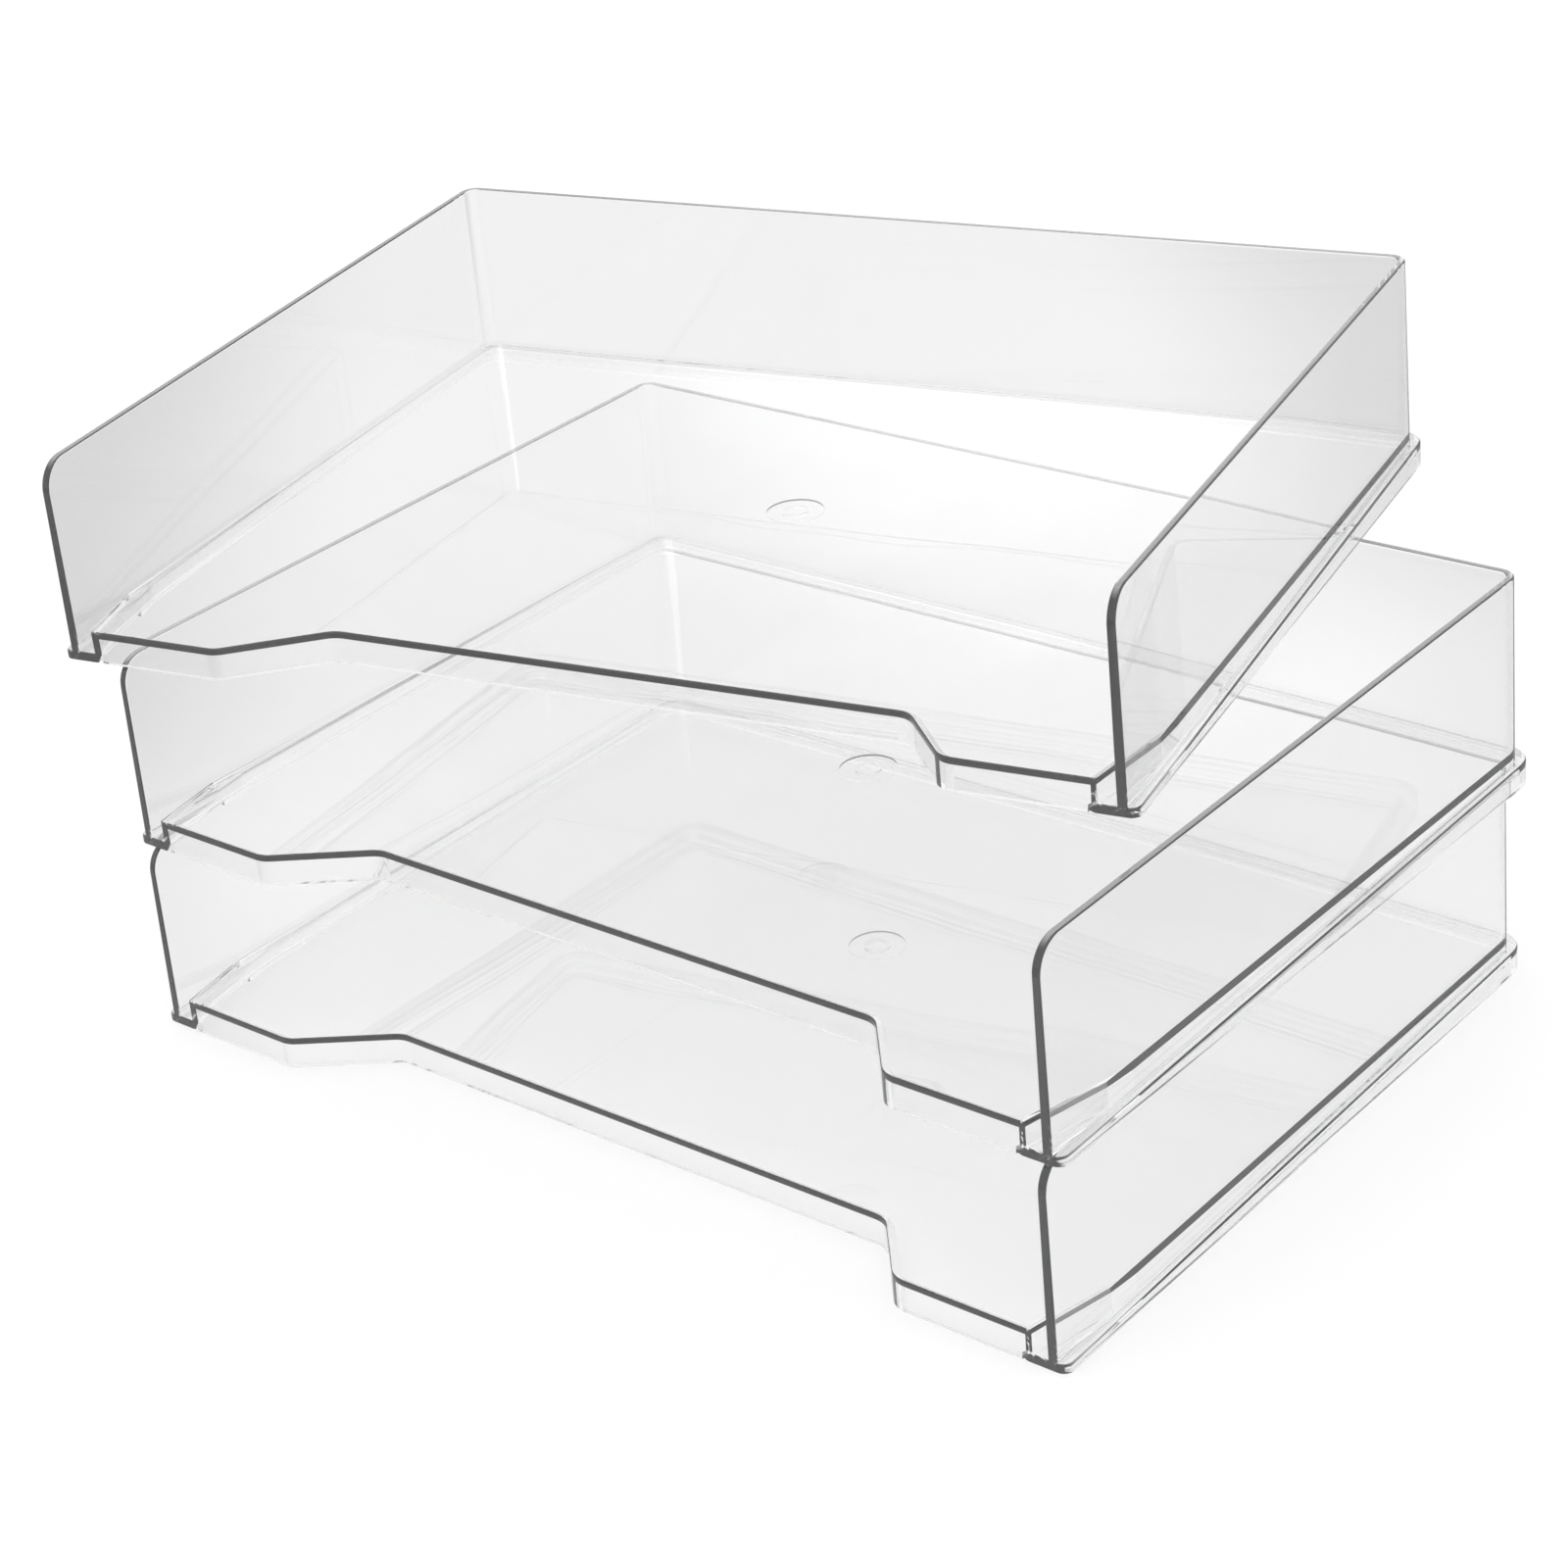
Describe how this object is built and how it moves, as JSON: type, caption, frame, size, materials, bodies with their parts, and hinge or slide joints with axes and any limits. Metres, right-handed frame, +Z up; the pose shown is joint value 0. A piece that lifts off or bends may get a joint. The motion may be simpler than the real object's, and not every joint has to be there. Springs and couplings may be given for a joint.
{
  "type": "letter tray",
  "caption": "Stack of open-front landscape letter trays in clear plastic, the lower pair nested square and the top one laid askew on the rims below.",
  "frame": {"origin": "centre of the whole stack's box, on the surface that it stands on", "axes": "+Z up, -Y towards the open front of the square-set trays, +X to the right seen from the front"},
  "size_m": [0.4144, 0.3213, 0.2028],
  "materials": {
    "clear_plastic": "clear moulded polystyrene, polished, with edges that read dark grey"
  },
  "bodies": {
    "bottom": {"bottom_tray": "clear_plastic"},
    "middle": {"middle_tray": "clear_plastic"},
    "top": {"top_tray": "clear_plastic"}
  },
  "joints": [
    {"name": "middle_lift", "type": "slide", "parent": "bottom", "child": "middle", "axis": [0, 0, 1], "range_m": [0, 0.1]},
    {"name": "top_lift", "type": "slide", "parent": "middle", "child": "top", "axis": [0, 0, 1], "range_m": [0, 0.1]}
  ]
}
